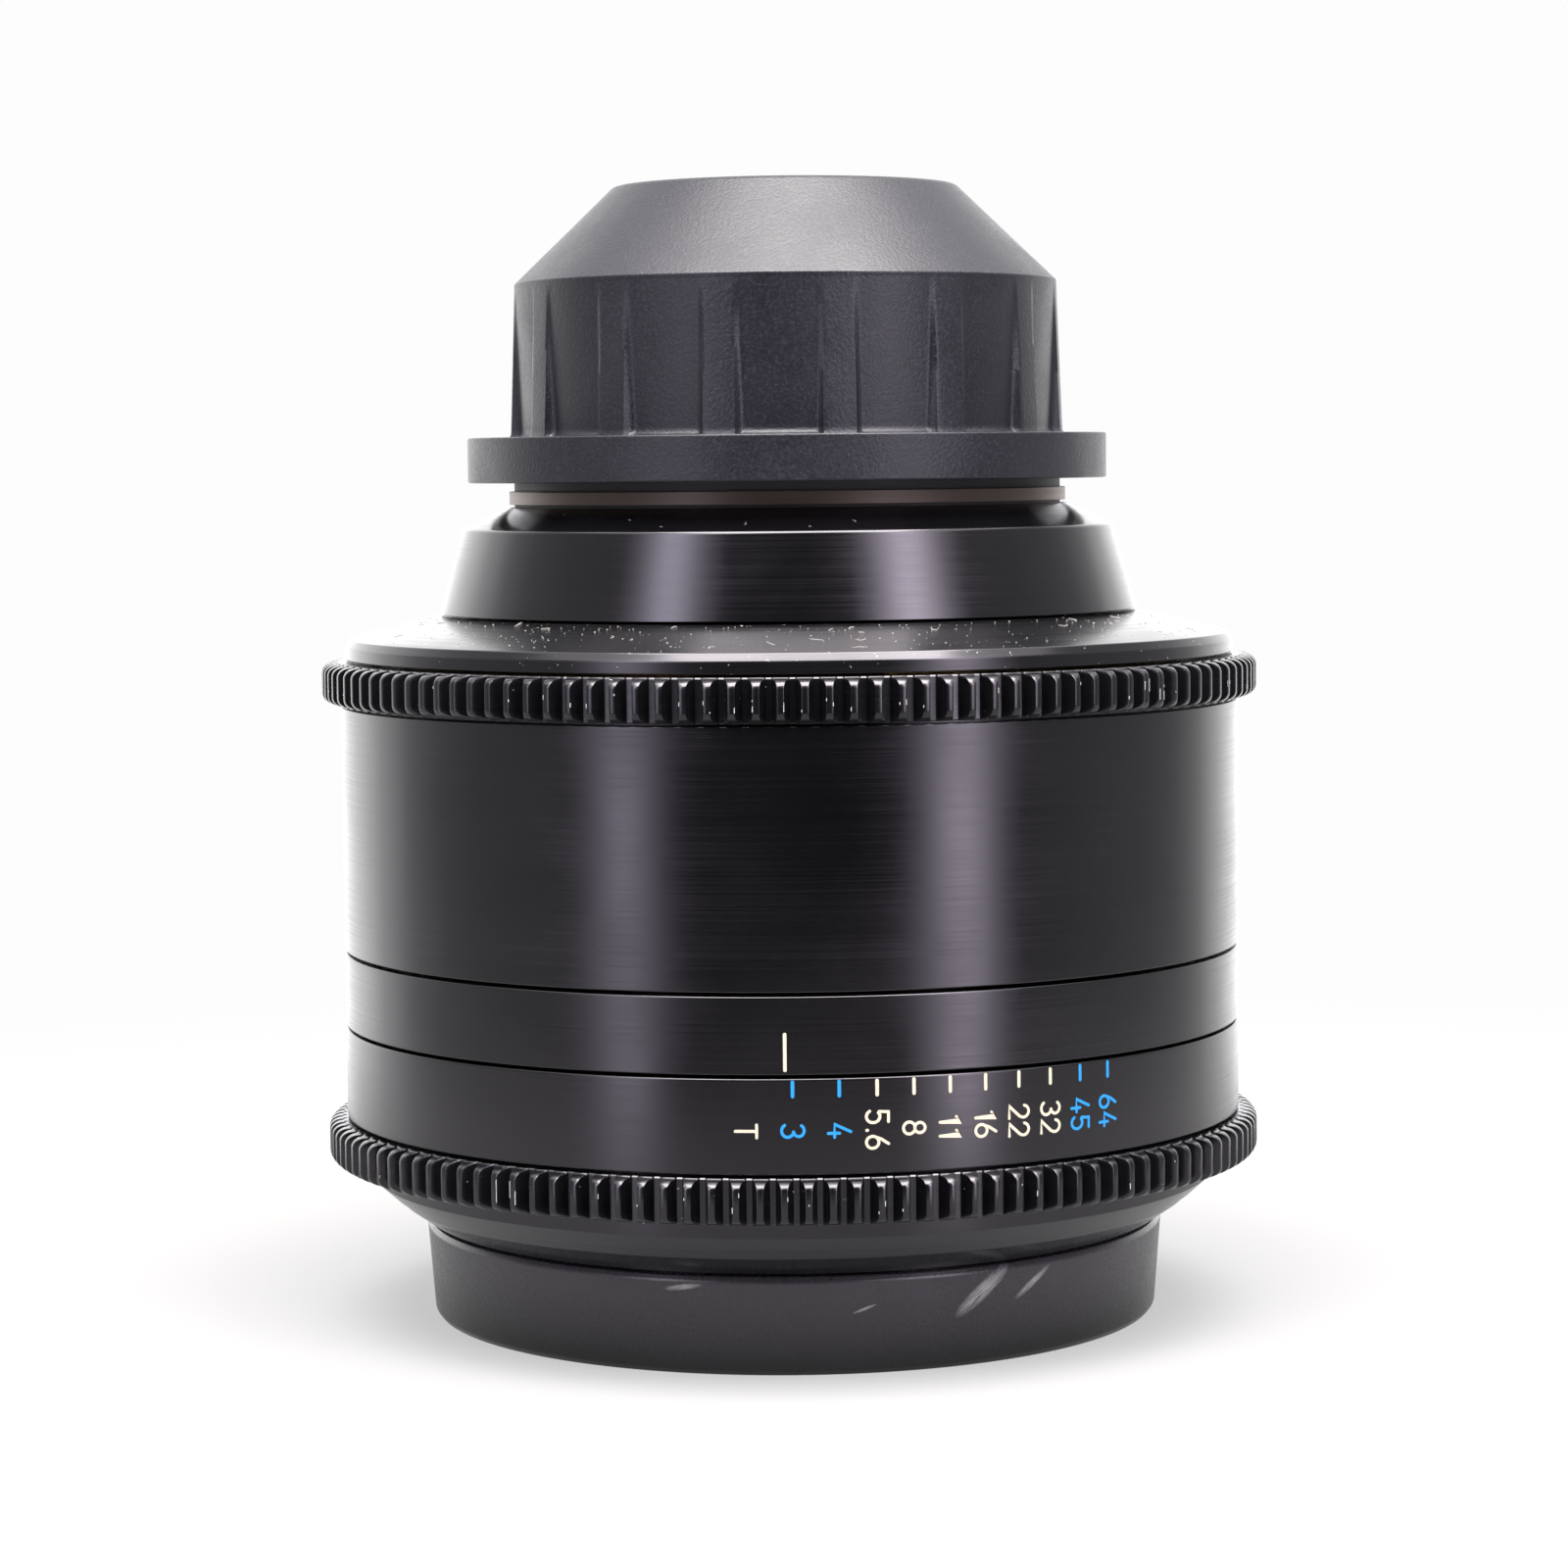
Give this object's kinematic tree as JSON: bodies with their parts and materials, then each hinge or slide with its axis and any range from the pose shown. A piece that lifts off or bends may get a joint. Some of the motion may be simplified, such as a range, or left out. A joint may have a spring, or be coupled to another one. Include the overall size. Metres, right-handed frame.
{
  "type": "cinema macro lens",
  "caption": "Cinema macro lens with toothed focus and iris rings, T-stop scale, bayonet rear mount and slide-off front and rear caps.",
  "frame": {"origin": "on the optical axis at the foot of the front cap, which is the surface the lens stands on", "axes": "+Z along the optical axis towards the rear mount; -Y is the side that carries the index line; +X is to the right of that side"},
  "size_m": [0.1072, 0.1072, 0.1289],
  "materials": {
    "satin_black": "satin black anodised",
    "barrel_black": "fine turned satin black anodised",
    "gear_black": "black anodised, semi-gloss",
    "matte_black": "matte black optical lacquer",
    "cap_plastic": "grained black-grey moulding",
    "brown_metal": "browned satin",
    "steel": "fine turned stainless",
    "brass": "machined",
    "blade_black": "blackened spring steel",
    "glass": "polished, coated"
  },
  "bodies": {
    "housing": {"rear_housing": "satin_black", "mount_cone": "satin_black", "mount_shim_ring": "brown_metal", "bayonet_mount": "steel", "rear_light_baffle": "matte_black", "guide_tube": "brass", "mount_screw_1": "steel", "mount_screw_2": "steel", "mount_screw_3": "steel", "mount_screw_4": "steel"},
    "focus_ring": {"focus_barrel": "barrel_black", "focus_gear_ring": "gear_black", "cam_tube": "brass"},
    "front_body": {"front_ring": "satin_black", "front_retaining_ring": "matte_black", "front_cell": "matte_black", "iris_housing": "matte_black", "iris_base_plate": "matte_black", "index_ring": "barrel_black", "inner_barrel": "matte_black", "rear_cell": "matte_black", "rear_spacer": "matte_black", "rear_retaining_ring": "matte_black", "front_element": "glass", "element_2": "glass", "element_3": "glass", "element_4": "glass", "element_5": "glass", "rear_element": "glass", "cam_follower_1": "steel", "cam_follower_2": "steel", "cam_follower_3": "steel"},
    "iris_ring": {"t_scale_ring": "barrel_black", "iris_gear_ring": "gear_black", "iris_cam_ring": "brass", "iris_drive_pin": "steel"},
    "blade_1": {"iris_blade_1": "blade_black"},
    "blade_2": {"iris_blade_2": "blade_black"},
    "blade_3": {"iris_blade_3": "blade_black"},
    "blade_4": {"iris_blade_4": "blade_black"},
    "blade_5": {"iris_blade_5": "blade_black"},
    "blade_6": {"iris_blade_6": "blade_black"},
    "blade_7": {"iris_blade_7": "blade_black"},
    "blade_8": {"iris_blade_8": "blade_black"},
    "front_cap": {"front_cap": "cap_plastic"},
    "rear_cap": {"rear_cap": "cap_plastic"}
  },
  "joints": [
    {"name": "focus_turn", "type": "hinge", "parent": "housing", "child": "focus_ring", "pos_m": [0, 0, 0.06], "axis": [0, 0, 1], "range_deg": [0, 270]},
    {"name": "focus_slide", "type": "slide", "parent": "front_body", "child": "housing", "axis": [0, 0, 1], "range_m": [0, 0.024]},
    {"name": "iris_turn", "type": "hinge", "parent": "front_body", "child": "iris_ring", "pos_m": [0, 0, 0.028], "axis": [0, 0, -1], "range_deg": [0, 42]},
    {"name": "front_cap_slide", "type": "slide", "parent": "front_cap", "child": "front_body", "axis": [0, 0, 1], "range_m": [0, 0.025]},
    {"name": "rear_cap_slide", "type": "slide", "parent": "housing", "child": "rear_cap", "axis": [0, 0, 1], "range_m": [0, 0.035]},
    {"name": "blade_1_swing", "type": "hinge", "parent": "front_body", "child": "blade_1", "pos_m": [0.0255, 0, 0.027], "axis": [0, 0, -1], "range_deg": [0, 30]},
    {"name": "blade_2_swing", "type": "hinge", "parent": "front_body", "child": "blade_2", "pos_m": [0.01803, 0.01803, 0.027], "axis": [0, 0, -1], "range_deg": [0, 30]},
    {"name": "blade_3_swing", "type": "hinge", "parent": "front_body", "child": "blade_3", "pos_m": [0, 0.0255, 0.027], "axis": [0, 0, -1], "range_deg": [0, 30]},
    {"name": "blade_4_swing", "type": "hinge", "parent": "front_body", "child": "blade_4", "pos_m": [-0.01803, 0.01803, 0.027], "axis": [0, 0, -1], "range_deg": [0, 30]},
    {"name": "blade_5_swing", "type": "hinge", "parent": "front_body", "child": "blade_5", "pos_m": [-0.0255, 0, 0.027], "axis": [0, 0, -1], "range_deg": [0, 30]},
    {"name": "blade_6_swing", "type": "hinge", "parent": "front_body", "child": "blade_6", "pos_m": [-0.01803, -0.01803, 0.027], "axis": [0, 0, -1], "range_deg": [0, 30]},
    {"name": "blade_7_swing", "type": "hinge", "parent": "front_body", "child": "blade_7", "pos_m": [0, -0.0255, 0.027], "axis": [0, 0, -1], "range_deg": [0, 30]},
    {"name": "blade_8_swing", "type": "hinge", "parent": "front_body", "child": "blade_8", "pos_m": [0.01803, -0.01803, 0.027], "axis": [0, 0, -1], "range_deg": [0, 30]}
  ],
  "couplings": [
    {"joint": "focus_slide", "follows": "focus_turn", "m_per_rad": 0.005093},
    {"joint": "blade_1_swing", "follows": "iris_turn", "ratio": 0.71428},
    {"joint": "blade_2_swing", "follows": "iris_turn", "ratio": 0.71428},
    {"joint": "blade_3_swing", "follows": "iris_turn", "ratio": 0.71428},
    {"joint": "blade_4_swing", "follows": "iris_turn", "ratio": 0.71428},
    {"joint": "blade_5_swing", "follows": "iris_turn", "ratio": 0.71428},
    {"joint": "blade_6_swing", "follows": "iris_turn", "ratio": 0.71428},
    {"joint": "blade_7_swing", "follows": "iris_turn", "ratio": 0.71428},
    {"joint": "blade_8_swing", "follows": "iris_turn", "ratio": 0.71428}
  ]
}
